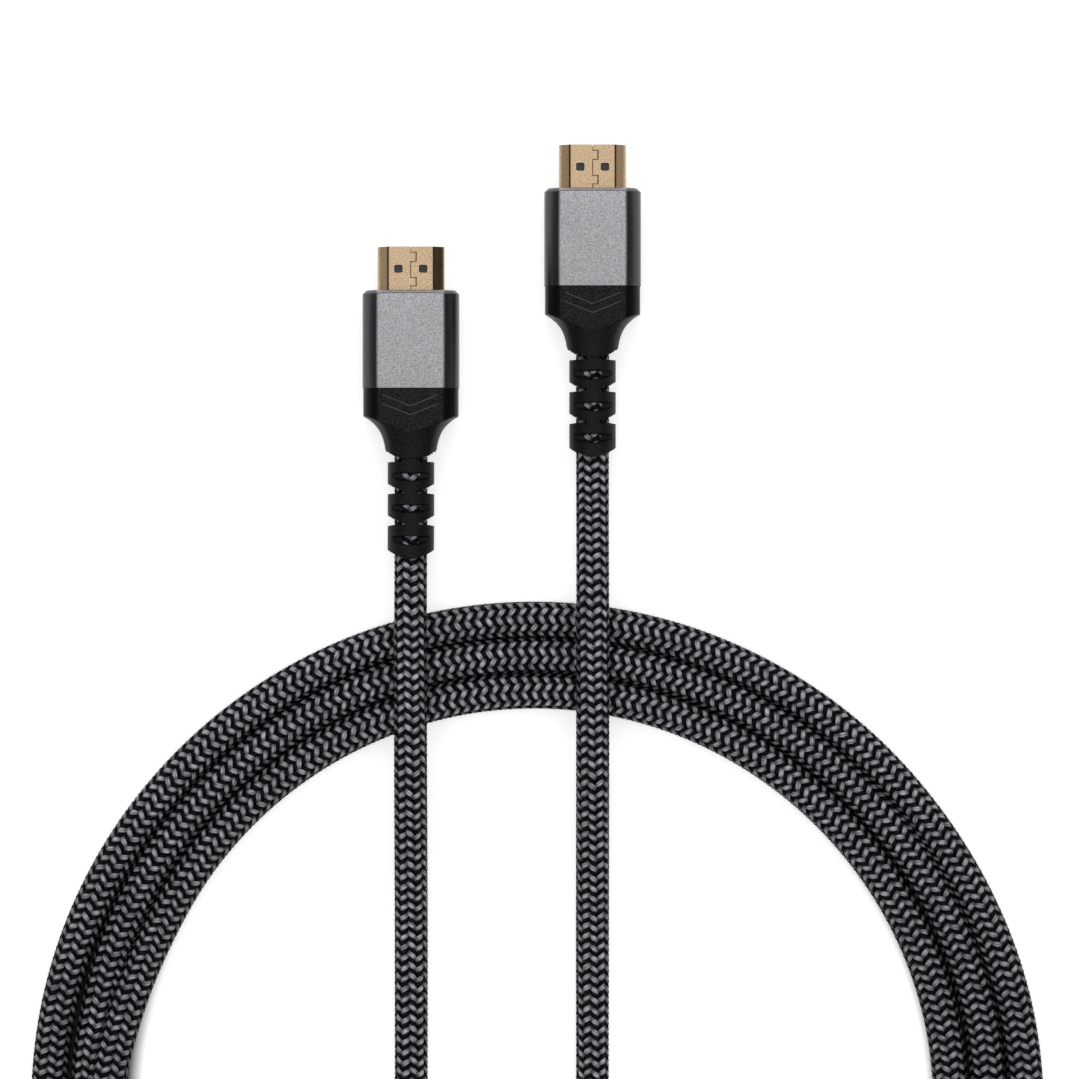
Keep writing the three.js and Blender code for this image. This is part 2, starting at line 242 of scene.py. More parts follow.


# Gold plate over rolled steel: a fine even grain that breaks up the shine. The upper bevels get painted
# shade, browner, with a painted dark line of shade along the crease and along the outer edge.
def goldPlate():
    r = Recipe("gold_plate")
    place = r.place()
    away = fromMiddle(r, place)
    crease, edge = connector["shellTop"] / 2 * mm, connector["shellWidth"] / 2 * mm
    start, end = (height * mm for height in goldShade["upperHeight"])
    upper = r.spread(r.along("Z", place), 0.0, 1.0, start, end)
    # Painted shade: the upper bevels go browner and darker
    bevel = r.spread(away, 0.0, 0.55, crease, crease + goldShade["bevelBlend"] * mm) * upper
    # Painted shade: a dark line along the crease, and a dark rim along the outer edge
    offLine = r.absolute(away - crease - goldShade["lineOffset"] * mm)
    start, end = (width * mm for width in goldShade["line"])
    line = r.spread(offLine, 0.85, 0.0, start, end) * upper
    start, end = (edge - depth * mm for depth in goldShade["rim"])
    rim = r.spread(away, 0.0, 0.8, start, end) * upper
    grain = r.noise(place, 5000.0, 2.0)
    cloud = r.noise(place, 900.0, 3.0)
    tone = r.mix(r.spread(grain, 0.0, 1.0, 0.3, 0.7), (0.22, 0.15, 0.088, 1), (0.80, 0.60, 0.39, 1))
    flat = r.mix(r.spread(cloud, 0.0, 0.4), tone, (0.50, 0.355, 0.215, 1))
    withBevelShade = r.mix(bevel, flat, (0.12, 0.075, 0.028, 1))
    return r.finish(
        Base_Color=r.mix(line + rim, withBevelShade, (0.02, 0.012, 0.006, 1)),
        Metallic=1.0,
        Roughness=r.spread(grain, 0.22, 0.4),
        Normal=r.bump(grain, 0.00002, 0.4),
    )


# Bright gold of the contacts
def contactGold():
    r = Recipe("contact_gold")
    wear = r.noise(r.place(), 2500.0, 3.0)
    return r.finish(
        Base_Color=r.mix(wear, (0.78, 0.56, 0.22, 1), (0.90, 0.70, 0.34, 1)),
        Metallic=1.0,
        Roughness=r.spread(wear, 0.18, 0.3),
    )


# Blue-black moulded insulator
def insulatorPlastic():
    r = Recipe("insulator")
    grain = r.noise(r.place(), 4000.0, 2.0)
    return r.finish(
        Base_Color=r.mix(grain, (0.018, 0.021, 0.028, 1), (0.04, 0.046, 0.058, 1)),
        Roughness=r.spread(grain, 0.45, 0.6),
        Normal=r.bump(grain, 0.00001, 0.3),
    )


# Where the aluminium's painted shade lies, in millimetres from the connector's middle plane
aluminiumShade = {"bevelStart": -0.3, "bevelEnd": 0.35, "side": (8.2, 10.0)}  # the bevel's from the flat's edge


# Bead-blasted and anodised aluminium, with painted shade: darker on the bevels and darkest at the sides
def anodised():
    r = Recipe("anodised_aluminium")
    place = r.place()
    beads = r.noise(place, 4800.0, 2.0, 0.6)
    cloud = r.noise(place, 700.0, 2.0)
    away = fromMiddle(r, place)
    start, end = ((connector["flatHalf"] + aluminiumShade[key]) * mm for key in ("bevelStart", "bevelEnd"))
    # Painted shade: the bevels go darker
    bevel = r.spread(away, 0.0, 0.92, start, end)
    tone = r.mix(r.spread(beads, 0.0, 1.0, 0.36, 0.64), (0.20, 0.20, 0.21, 1), (0.46, 0.458, 0.478, 1))
    face = r.mix(r.spread(cloud, 0.0, 0.2), tone, (0.31, 0.31, 0.322, 1))
    # Painted shade: the sides go nearly black
    start, end = (place * mm for place in aluminiumShade["side"])
    outward = r.spread(away, 0.0, 1.0, start, end)
    side = r.mix(outward, (0.068, 0.069, 0.073, 1), (0.022, 0.022, 0.024, 1))
    return r.finish(
        Base_Color=r.mix(bevel, face, side),
        Metallic=1.0,
        Roughness=r.spread(beads, 0.26, 0.4),
        Normal=r.bump(beads, 0.00003, 0.5),
    )


# Moulded black: grained on the flat faces, smooth on the bevels, with a painted highlight on the ridges
def mouldedBlack():
    r = Recipe("moulded_black")
    grain = r.node("Attribute", {"attribute_name": "grain"}, output="Fac")
    ridgeHighlight = r.node("Attribute", {"attribute_name": "ridgeHighlight"}, output="Fac")
    pits = r.noise(r.place(), 3600.0, 3.0, 0.65)
    speck = r.spread(pits, 0.0, 1.0, 0.42, 0.7) * (grain * 0.9 + 0.1)
    tone = r.mix(speck, (0.0015, 0.0015, 0.0018, 1), (0.042, 0.042, 0.046, 1))
    return r.finish(
        # Painted highlight: the ridges' tops are lighter
        Base_Color=r.mix(ridgeHighlight, tone, (0.10, 0.10, 0.105, 1)),
        Roughness=r.spread(grain, 0.36, 0.6),
        Normal=r.bump(pits * grain, 0.00006, 0.6),
        Specular_IOR_Level=0.12,
    )


# One colour of braid yarn: fine filaments along each float, and painted shade where a float sinks at its
# ends and wherever else the floats are given it
def yarn(name, dark, light, shadedColour, shine):
    r = Recipe(name)
    threads = r.noise(r.stretched(r.place("UV"), (0.4, 3.4, 1.0)), 1.0, 3.0, 0.65)
    shade = r.node("Attribute", {"attribute_name": "shade"}, output="Fac")
    paintedShade = r.node("Attribute", {"attribute_name": "paintedShade"}, output="Fac")
    tone = r.mix(r.spread(threads, 0.0, 0.8, 0.4, 0.6) + shade * 0.2, dark, light)
    return r.finish(
        # Painted shade: the colour goes to the shade colour where the float is shaded
        Base_Color=r.mix(paintedShade, tone, shadedColour),
        Roughness=0.5,
        Specular_IOR_Level=shine,
        Normal=r.bump(threads, 0.0001, 0.7),
    )


# The dull black that shows between the yarns
def coreBlack():
    r = Recipe("cable_core")
    weave = r.noise(r.place(), 2500.0, 2.0)
    tone = r.mix(weave, (0.002, 0.002, 0.0025, 1), (0.006, 0.006, 0.007, 1))
    return r.finish(Base_Color=tone, Roughness=0.8, Specular_IOR_Level=0.1)


# Each yarn's dark and light filaments, its painted shade colour, and its shine
yarns = {
    "braid_grey": [(0.15, 0.15, 0.17, 1), (0.80, 0.80, 0.865, 1), (0.006, 0.006, 0.008, 1), 0.4],
    "braid_black": [(0.001, 0.001, 0.0015, 1), (0.02, 0.02, 0.024, 1), (0.0005, 0.0005, 0.001, 1), 0.03],
}

finishes = {
    "gold": goldPlate(),
    "contact": contactGold(),
    "insulator": insulatorPlastic(),
    "aluminium": anodised(),
    "black": mouldedBlack(),
    "greyYarn": yarn("braid_grey", *yarns["braid_grey"]),
    "blackYarn": yarn("braid_black", *yarns["braid_black"]),
    "core": coreBlack(),
}
print("materials made")

# The cable's route. The tails are listed points, and the three turns are worked out
cable = {
    "diameter": 6.9,
    "overTurns": 10.65,  # the axis' height where it lies over another stretch
    "centre": (6.7, -156.4),
    "innerTurn": 85.9,
    "middleTurn": 93.3,
    "outerTurn": 100.7,
    "oval": 36.0,  # how much longer the turns are below their centre
    "spread": {"inner": 0.6, "middle": 1.0, "outer": 1.45},  # how far the turns stand out at the right
    "crossingShift": 3.4,  # how far the raised stretch has moved outwards before it crosses
    "tucked": 1.0,  # how far the last stretch of the middle turn lies inwards
    "pressed": 0.085,  # how much wider the turns are where they lie side by side
    "pressedOver": 40.0,
    "step": 0.5,
    "coreRadius": 3.02,
    "coreAround": 12,
    "coreSpacing": 3.0,
}
cableRadius = cable["diameter"] / 2


# A smooth step from 0 to 1 between two places: 3 t squared less 2 t cubed
def ease(start, end, place):
    share = np.clip((place - start) / (end - start), 0, 1)
    return share * share * (3 - 2 * share)


# The height of a tail's axis on its way from its plug up onto the turns
def lift(letter, y):
    start, end = connector["climb"][letter]
    rise = cable["overTurns"] - connector["axisHeight"]
    return connector["axisHeight"] + rise * ease(-start, -end, -np.asarray(y, float))


# A tail's first stretch: straight down the picture at its plug's own x, rising as lift says
def straightTail(letter, places):
    y = np.array(places, float)
    return np.stack([0 * y + connector["x"][letter], y, lift(letter, y)], axis=1)


# Polar about the coil's centre: the radius eases from the inner turn to the outer one and back
# to the middle one, and below the centre the oval adds its length times the sine
def turnPoints():
    angle = np.arange(-12, 906, 12.0)
    inner, middle, outer = cable["innerTurn"], cable["middleTurn"], cable["outerTurn"]
    spread, climbing = cable["spread"], cable["crossingShift"]
    radius = inner + spread["inner"] * (1 - ease(0, 60, angle)) + climbing * ease(156, 190, angle)
    radius += (outer + spread["outer"] - inner - climbing) * ease(190, 340, angle)
    radius -= spread["outer"] * ease(358, 400, angle)
    radius += (middle - outer) * ease(550, 690, angle) - cable["tucked"] * ease(862, 905, angle)
    radius += spread["middle"] * (ease(640, 690, angle) - ease(725, 780, angle))
    raised = ease(151, 185, angle) - ease(318, 352, angle)
    height = cableRadius + (cable["overTurns"] - cableRadius) * raised
    turn = np.radians(angle)
    oval = np.where(np.sin(turn) < 0, cable["oval"], 0)
    x = cable["centre"][0] + radius * np.cos(turn)
    y = cable["centre"][1] + (radius + oval) * np.sin(turn)
    return np.stack([x, y, height], axis=1)


# From the left plug over the turns, down to the floor and round to the coil's right side
def tailA():
    x, floor, over = connector["x"]["a"], cableRadius, cable["overTurns"]
    route = [
        (x, -68, over), (x, -77, over), (x, -88, over - 0.9), (x, -98, over - 3),
        (x, -108, floor + 2.3), (x, -118, floor + 0.5), (x, -130, floor), (x, -160, floor),
        (x, -192, floor), (-14.5, -215, floor), (1, -235, floor), (26, -245.5, floor),
        (51, -240, floor), (71, -222.5, floor), (83.5, -200, floor),
    ]
    return np.concatenate([straightTail("a", (-18.9, -24, -30, -36, -42, -48, -54, -60)), route])


# From the right plug over the turns and the other tail, round to the coil's left side
def tailB():
    x, floor, over = connector["x"]["b"], cableRadius, cable["overTurns"]
    route = [
        (x, -66, over), (x, -76, over), (x, -87, over - 0.9), (x, -97, over - 3),
        (x, -107, floor + 2.3), (x, -117, floor + 0.5), (x, -129, floor), (x, -160, floor + 0.3),
        (x, -187, floor + 3), (15.5, -209, floor + 6.2), (3.5, -227, over + 0.1),
        (-15.5, -236, over - 0.4), (-38, -233, floor + 3.6), (-57.5, -219.5, floor + 0.6),
        (-71.5, -200, floor),
    ]
    return np.concatenate([straightTail("b", (2.2, -10, -28, -34, -40, -46, -52, -58)), route])


# A centripetal Catmull-Rom curve through the points, cut into even steps
def evenCurve(points):
    ends = [2 * points[:1] - points[1:2], points, 2 * points[-1:] - points[-2:-1]]
    p = np.concatenate(ends)
    knots = np.concatenate([[0], np.cumsum(np.linalg.norm(np.diff(p, axis=0), axis=1) ** 0.5)])
    spans = np.arange(1, len(p) - 2)
    q = [p[spans + i][:, None, :] for i in (-1, 0, 1, 2)]
    k = [knots[spans + i][:, None, None] for i in (-1, 0, 1, 2)]
    t = k[1] + (k[2] - k[1]) * np.linspace(0, 1, 40, endpoint=False)[None, :, None]

    def between(first, second, start, end):
        return ((end - t) * first + (t - start) * second) / (end - start)

    a = [between(q[i], q[i + 1], k[i], k[i + 1]) for i in range(3)]
    b = [between(a[i], a[i + 1], k[i], k[i + 2]) for i in range(2)]
    fine = np.concatenate([between(b[0], b[1], k[1], k[2]).reshape(-1, 3), points[-1:]])
    far = np.concatenate([[0], np.cumsum(np.linalg.norm(np.diff(fine, axis=0), axis=1))])
    even = np.arange(0, far[-1], cable["step"])
    line = np.stack([np.interp(even, far, fine[:, i]) for i in range(3)], axis=1)
    line[:, 2] = np.maximum(line[:, 2], cableRadius)
    return line


line = evenCurve(np.concatenate([tailA(), turnPoints(), tailB()[::-1]]))
cableLength = cable["step"] * (len(line) - 1)
ahead = np.gradient(line, axis=0)
ahead /= np.linalg.norm(ahead, axis=1)[:, None]
beside = np.cross(ahead, (0, 0, 1))
beside /= np.linalg.norm(beside, axis=1)[:, None]
above = np.cross(beside, ahead)
print("cable route", round(cableLength), "mm")


# Where along the cable the turns start and end: the line's nearest points to their first and last
coilEnds = [cable["step"] * np.argmin(np.linalg.norm(line - turnPoints()[i], axis=1)) for i in (0, -1)]


# The turns are pressed a little wider where they lie side by side
def widening(place):
    start, end = coilEnds
    over = cable["pressedOver"]
    return 1 + cable["pressed"] * (ease(start, start + over, place) - ease(end - over, end, place))


# A point that far along the cable and that far from its axis, turned round it by the angle
def onCable(place, angle, radius):
    index = np.clip(place / cable["step"], 0, len(line) - 1.001)
    low = index.astype(int)
    share = (index - low)[..., None]
    middle, side, up = (v[low] * (1 - share) + v[low + 1] * share for v in (line, beside, above))
    across = (np.cos(angle) * widening(place))[..., None]
    return middle + radius[..., None] * (across * side + np.sin(angle)[..., None] * up)


# The black body under the yarns: rings of a constant radius along the cable
def makeCore():
    around = cable["coreAround"]
    places = np.linspace(0, cableLength, int(cableLength / cable["coreSpacing"]))
    places = np.concatenate([places[:1], places, places[-1:]])
    radii = np.full(len(places), cable["coreRadius"])
    radii[[0, -1]] = 0  # both ends close on the axis
    place, angle = np.meshgrid(places, np.arange(around) * 2 * np.pi / around, indexing="ij")
    points = onCable(place, angle, np.broadcast_to(radii[:, None], place.shape)).reshape(-1, 3)
    faces = gridFaces(len(places), around, wrapColumns=True)
    return addPiece("cable_core", points, facingOut(points, faces), finishes["core"], weld=True)


braid = {
    "carriers": 12,  # each way
    "lead": 13.1,  # the cable's length for one turn of a carrier
    "twist": 0.25,  # how far the columns of floats turn, in degrees for each mm
    "axisRadius": 3.19,
    "wave": 0.17,  # how far a yarn rises over the others and sinks under them
    "waveFlat": 0.3,  # from a float's middle, in crossings, as the fall that follows it
    "waveFall": 1.1,
    "crown": 0.11,
    "halfWidth": (0.52, 0.44),  # of the grey and the black yarn
    "taper": 0.25,
    "reach": 1.25,  # how far a float runs from its middle, in crossings
    "gridAlong": (-1.0, -0.66, -0.22, 0.22, 0.66, 1.0),  # shares of the reach
    "gridAcross": (-1.0, -0.4, 0.4, 1.0),  # shares of the half width
    "lean": {1: 9.0, -1: -1.0},  # each hand's turn towards the cable's axis, in degrees
    "shadeFrom": 0.08,  # the share of the reach where a float starts to go dark
    "shadeTo": 0.97,
    "edgeShade": 0.6,
    "flankShade": 0.75,
    "flankFrom": 0.72,
    "coilShade": 0.3,  # how far the turns go dark away from the plugs
    "coilShadeOver": (50, 170),  # where that starts and ends, as -y
    "clearEnds": 1.0,
    "stretches": 3,
    "seed": 7,
}


# Every float of the braid. A carrier crosses another each 24th of the lead, over two and under
# two, so that its floats' middles lie four crossings apart. Floats of one hand stand in columns
# 60 degrees apart, with the other hand's columns between them.
def floatPlaces(hand):
    crossing = braid["lead"] / (2 * braid["carriers"])
    count = int(cableLength / crossing / 4) + 8
    carrier, repeat = np.meshgrid(np.arange(braid["carriers"]), np.arange(-2, count), indexing="ij")
    if hand > 0:
        step, angle = 0.5 - 2 * carrier + 4 * repeat, 7.5 + 60 * repeat
    else:
        step, angle = 2 * carrier - 2.5 + 4 * repeat, 37.5 - 60 * repeat
    place = step * crossing
    kept = (place > braid["clearEnds"]) & (place < cableLength - braid["clearEnds"])
    return place[kept], np.radians(angle[kept].astype(float)), (carrier % 2)[kept]


# A float is a small grid, u along it in crossings and w across it. Its radius is the braid's, plus
# a cosine wave along u and a crown that falls off with w squared. Its colour gets painted shade
# towards its ends and edges, on the cable's flanks, and on the turns away from the plugs.
def floatGrid(place, angle, colour, hand):
    crossing = braid["lead"] / (2 * braid["carriers"])
    sideways = np.pi / braid["carriers"] * cableRadius
    slope = np.arctan2(sideways, crossing) - np.radians(braid["lean"][hand])
    length = np.hypot(sideways, crossing)
    u = np.array(braid["gridAlong"])[:, None] * braid["reach"]
    w = np.array(braid["gridAcross"])[None, :] * hand
    widest = np.where(colour == 0, *braid["halfWidth"])[:, None, None]
    width = widest * (1 - braid["taper"] * (u / braid["reach"]) ** 2)
    turn = (hand * length * np.sin(slope) * u + w * width * np.cos(slope)) / cableRadius
    advance = length * np.cos(slope) * u - hand * w * width * np.sin(slope)
    wave = np.cos(np.pi * np.clip((np.abs(u) - braid["waveFlat"]) / braid["waveFall"], 0, 1))
    radius = braid["axisRadius"] + braid["wave"] * wave + braid["crown"] * (1 - w * w)
    s = place[:, None, None] + advance
    phi = angle[:, None, None] + turn + np.radians(braid["twist"]) * s
    points = onCable(s, phi, np.broadcast_to(radius, s.shape))
    # Painted shade: darker towards a float's ends and edges, on the cable's flanks, and on the lower turns
    ends = ease(braid["shadeFrom"], braid["shadeTo"], np.abs(u) / braid["reach"])
    edges = braid["edgeShade"] * w * w
    flanks = braid["flankShade"] * ease(braid["flankFrom"], 1.0, np.abs(np.cos(phi)))
    turns = (widening(s) - 1) / cable["pressed"]
    start, end = braid["coilShadeOver"]
    lower = braid["coilShade"] * turns * ease(start, end, -points[..., 1])
    paintedShade = 1 - (1 - ends) * (1 - edges) * (1 - flanks) * (1 - lower)
    return points, u, w * width, paintedShade


# All floats of each colour, with their own shade and filaments, cut into stretches of the cable
def makeBraid():
    pieces = []
    rng = np.random.default_rng(braid["seed"])
    bodies = {0: [], 1: []}
    for hand in (1, -1):
        place, angle, colour = floatPlaces(hand)
        points, u, w, paintedShade = floatGrid(place, angle, colour, hand)
        start = rng.uniform(0, 50, (len(place), 1, 1))
        uv = np.stack(np.broadcast_arrays(start + u, start * 7 + w), axis=-1)
        shade = np.broadcast_to(rng.uniform(0, 1, (len(place), 1, 1)), points.shape[:3])
        for c in (0, 1):
            bodies[c].append([v[colour == c] for v in (place, points, uv, shade, paintedShade)])
    faces = gridFaces(len(braid["gridAlong"]), len(braid["gridAcross"]))
    pointsEach = len(braid["gridAlong"]) * len(braid["gridAcross"])
    for c, name, finish in ((0, "braid_grey", "greyYarn"), (1, "braid_black", "blackYarn")):
        place, points, uv, shade, paintedShade = (np.concatenate([b[i] for b in bodies[c]]) for i in range(5))
        stretch = np.minimum((place / cableLength * braid["stretches"]).astype(int), braid["stretches"] - 1)
        for i in range(braid["stretches"]):
            here = stretch == i
            starts = pointsEach * np.arange(here.sum())
            allFaces = (faces[None] + starts[:, None, None]).reshape(-1, 4)
            piece = addPiece(
                f"{name}_{i + 1}", points[here].reshape(-1, 3), allFaces, finishes[finish],
                uv=uv[here].reshape(-1, 2),
                values={"shade": shade[here].ravel(), "paintedShade": paintedShade[here].ravel()},
            )
            pieces.append(piece)
    return pieces


core = makeCore()
braidPieces = makeBraid()
for piece in [core, *braidPieces]:
    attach(piece, "root")
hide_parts("cable_tail_a", "cable_tail_b", "cable_coil")
print("cable and braid made")


# Outlines round a connector's axis. Each corner is x, z and its rounding, and each side after a
# corner has its own shares where points lie between the two roundings
def ring(corners, shares, perCorner=6):
    corners = np.array(corners, float)
    spots, radii = corners[:, :2], corners[:, 2:]
    before = np.roll(spots, 1, axis=0) - spots
    after = np.roll(spots, -1, axis=0) - spots
    starts = spots + before / np.linalg.norm(before, axis=1)[:, None] * radii
    ends = spots + after / np.linalg.norm(after, axis=1)[:, None] * radii
    t = np.linspace(0, 1, perCorner)[:, None]
    pieces = []
    for i in range(len(corners)):
        pieces.append((1 - t) ** 2 * starts[i] + 2 * t * (1 - t) * spots[i] + t * t * ends[i])
        share = np.asarray(shares[i], float)[:, None]
        pieces.append(ends[i] * (1 - share) + starts[(i + 1) % len(corners)] * share)
    return np.concatenate(pieces)


# Even steps between two ends, both left out
def evenShares(count):
    return np.arange(1, count + 1) / (count + 1)


# Outlines at places back from the tip, as points in the row's frame
def atConnector(letter, outlines, places):
    x = connector["x"][letter] + outlines[..., 0]
    y = connector["tip"][letter] - np.broadcast_to(np.asarray(places, float), outlines.shape[:-1])
    z = connector["axisHeight"] + outlines[..., 1]
    return np.stack([x, y, z], axis=-1).reshape(-1, 3)


shell = {
    "width": connector["shellWidth"], "height": 4.45, "topWidth": connector["shellTop"],
    "sideHeight": 2.12, "corner": 0.45, "innerCorner": 0.25, "wall": 0.35, "length": 12.1,
    "holeFromTip": 4.6, "holeOffset": 2.55, "holeHalf": (0.875, 0.825),
    "seamHalf": 0.08, "seamHook": 1.05, "seamJogs": (1.2, 3.1, 6.4, 8.15),
    "gridTop": (3.9, 0.25),  # half the stretch that has grid lines, and their spacing
    "gridBottom": (6.1, 0.35), "gridAlong": 0.28, "nearFace": 0.05,
}


# The plug's section, taken in by an inset: 45-degree cuts at its upper corners
def plugCorners(inset, corner):
    half, bottom = shell["width"] / 2 - inset, -shell["height"] / 2 + inset
    top = -bottom
    cut = inset * np.tan(np.pi / 8)
    topHalf = shell["topWidth"] / 2 - cut
    side = -shell["height"] / 2 + shell["sideHeight"] - cut
    return [
        (-half, bottom, corner), (half, bottom, corner), (half, side, corner),
        (topHalf, top, corner), (-topHalf, top, corner), (-half, side, corner),
    ]


# Grid lines at each edge of a feature, a few more inside it, and coarse ones between
def linesBetween(low, high, edges, coarse):
    marks = np.unique(np.round(np.concatenate([[low, high], edges]), 4))
    marks = marks[(marks >= low) & (marks <= high)]
    gaps = np.diff(marks)
    counts = np.ceil(gaps / coarse).astype(int)
    lines = [start + gap * np.arange(n) / n for start, gap, n in zip(marks, gaps, counts)]
    return np.concatenate(lines + [[high]])


# A skin and its inner side as one closed wall: the faces kept, the same faces turned over on the
# inner side, and a strip along every edge that only one kept face has
def thickWall(outer, inner, kept):
    edges = np.concatenate([kept[:, [i, (i + 1) % 4]] for i in range(4)])
    size = len(outer)
    forward, back = edges[:, 0] * size + edges[:, 1], edges[:, 1] * size + edges[:, 0]
    rim = edges[~np.isin(forward, back)]
    strip = np.stack([rim[:, 1], rim[:, 0], rim[:, 0] + size, rim[:, 1] + size], axis=1)
    return np.concatenate([outer, inner]), np.concatenate([kept, kept[:, ::-1] + size, strip])


# Moves points near a square hole so that its outline becomes a superellipse of power 5
def roundHole(x, place, centreX):
    halfX, halfY = shell["holeHalf"]
    dx, dy = (x - centreX) / halfX, (place - shell["holeFromTip"]) / halfY
    size = np.maximum(np.maximum(np.abs(dx), np.abs(dy)), 1e-6)
    pull = ((np.abs(dx) / size) ** 5 + (np.abs(dy) / size) ** 5) ** -0.2 - 1
    pull = pull * np.clip((1.7 - size) / 0.7, 0, 1)
    return x + dx * pull * halfX, place + dy * pull * halfY


# A grid round the plug's outline and back from its tip, with the faces over the latch holes and
# the hooked seam left out, as a wall with both its skins
def makeShell(letter):
    s = shell
    holeX = [side * s["holeOffset"] + edge * s["holeHalf"][0] for side in (-1, 1) for edge in (-1, 1)]
    seamX = [-s["seamHalf"], s["seamHalf"], s["seamHook"] - s["seamHalf"], s["seamHook"] + s["seamHalf"]]
    rowEdges = [s["holeFromTip"] - s["holeHalf"][1], s["holeFromTip"] + s["holeHalf"][1]]
    for jog in s["seamJogs"]:
        rowEdges += [jog - s["seamHalf"], jog + s["seamHalf"]]
    places = linesBetween(0, s["length"], rowEdges, s["gridAlong"])
    (topReach, topGap), (bottomReach, bottomGap) = s["gridTop"], s["gridBottom"]
    topX = linesBetween(-topReach, topReach, holeX + seamX, topGap)
    bottomX = linesBetween(-bottomReach, bottomReach, holeX, bottomGap)

    def outline(inset, corner):
        top = s["topWidth"] / 2 - inset * np.tan(np.pi / 8) - corner
        bottom = s["width"] / 2 - inset - corner
        few = evenShares(4)
        shares = [(bottomX + bottom) / (2 * bottom), few, few, (topX + top) / (2 * top), few, few]
        return ring(plugCorners(inset, corner), shares)

    outer, inner = outline(0, s["corner"]), outline(s["wall"], s["innerCorner"])
    columns, rows = len(outer), len(places)
    faces = gridFaces(rows, columns, wrapColumns=True)
    flatX = np.tile(outer[:, 0], rows)
    flatZ = np.tile(outer[:, 1], rows)
    flatY = np.repeat(places, columns)
    x, z, y = (v[faces].mean(axis=1) for v in (flatX, flatZ, flatY))
    inHole = np.abs(np.abs(x) - s["holeOffset"]) < s["holeHalf"][0]
    onWide = np.abs(z) > s["height"] / 2 - s["nearFace"]
    inHole &= (np.abs(y - s["holeFromTip"]) < s["holeHalf"][1]) & onWide
    j = s["seamJogs"]
    hooked = ((y > j[0]) & (y < j[1])) | ((y > j[2]) & (y < j[3]))
    onTop = onWide & (z > 0)
    upright = np.abs(x - np.where(hooked, s["seamHook"], 0)) < s["seamHalf"]
    level = (x > -s["seamHalf"]) & (x < s["seamHook"] + s["seamHalf"])
    level &= np.min(np.abs(y[:, None] - np.array(j)), axis=1) < s["seamHalf"]
    kept = faces[~(inHole | (onTop & (upright | level)))]
    skins = []
    for outlinePoints in (outer, inner):
        px = np.tile(outlinePoints[:, 0], rows)
        pz = np.tile(outlinePoints[:, 1], rows)
        py = np.repeat(places, columns)
        flat = np.abs(np.abs(pz) - np.abs(pz).max()) < 0.01
        for side in (-1, 1):
            rx, ry = roundHole(px, py, side * s["holeOffset"])
            px, py = np.where(flat, rx, px), np.where(flat, ry, py)
        skins.append(atConnector(letter, np.stack([px, pz], axis=-1), py))
    points, faces = thickWall(skins[0], skins[1], kept)
    return addPiece(f"gold_shell_{letter}", points, facingOut(points, faces), finishes["gold"], sharp=40)


housing = {
    "half": 10.0, "top": 6.0, "flatHalf": connector["flatHalf"], "shoulder": 4.1, "round": 2.6,
    "crease": 0.45, "chamfer": 0.75, "edge": 0.07, "wall": 1.2, "frontWall": 1.3,
    "mouthGap": 0.3, "mouthTopGap": 0.12, "mouthCut": 0.5, "mouthCorner": 0.05, "mouthBend": 0.2,
    "frontBand": 0.5,
}


# The sleeve's section: flat faces, a crease, then a bevel that rounds over to the side
def sleeveCorners(half, top, flatHalf, shoulder, rounding, crease):
    return [
        (-flatHalf, -top, crease), (flatHalf, -top, crease), (half, -shoulder, rounding),
        (half, shoulder, rounding), (flatHalf, top, crease), (-flatHalf, top, crease),
        (-half, shoulder, rounding), (-half, -shoulder, rounding),
    ]


# The section as an outline of points, which the housing and the collar share
def sleeveRing(perCorner=8):
    h = housing
    corners = sleeveCorners(h["half"], h["top"], h["flatHalf"], h["shoulder"], h["round"], h["crease"])
    return ring(corners, [evenShares(8), evenShares(2)] * 4, perCorner)


# A closed profile of outlines carried from the mouth, over the chamfered front, back along the
# outside and in again along the cavity
def makeHousing(letter):
    h = housing
    outside = sleeveRing()
    half, bottom = shell["width"] / 2 + h["mouthGap"], -shell["height"] / 2 - h["mouthGap"]
    cut, side = h["mouthCut"], -shell["height"] / 2 + shell["sideHeight"]
    topHalf = shell["topWidth"] / 2 + h["mouthTopGap"]
    tight, bend = h["mouthCorner"], h["mouthBend"]
    mouth = ring([
        (-half + cut, bottom, tight), (half - cut, bottom, tight), (half, bottom + cut, tight),
        (half, side, bend), (topHalf, -bottom, bend), (-topHalf, -bottom, bend),
        (-half, side, bend), (-half, bottom + cut, tight),
    ], [evenShares(8), evenShares(2)] * 4, 8)

    def inset(by):
        return outside * [1 - by / h["half"], 1 - by / h["top"]]

    front, rear = connector["housingFront"], connector["housingRear"]
    back, c, e = front + h["frontWall"], h["chamfer"], h["edge"]
    profile = [
        (back, mouth), (front, mouth), (front, inset(c + h["frontBand"])), (front, inset(c + e)),
        (front + 0.3 * e, inset(c)), (front + c - 0.3 * e, inset(0.5 * e)), (front + c + e, inset(0)),
        (rear - e, inset(0)), (rear - 0.3 * e, inset(0.3 * e)), (rear, inset(e)),
        (rear, inset(h["wall"])), (back, inset(h["wall"])),
    ]
    outlines = np.stack([outline for place, outline in profile])
    points = atConnector(letter, outlines, np.array([[place] for place, outline in profile]))
    faces = gridFaces(len(profile), outlines.shape[1], wrapRows=True, wrapColumns=True)
    return addPiece(f"housing_{letter}", points, facingOut(points, faces), finishes["aluminium"], sharp=32)


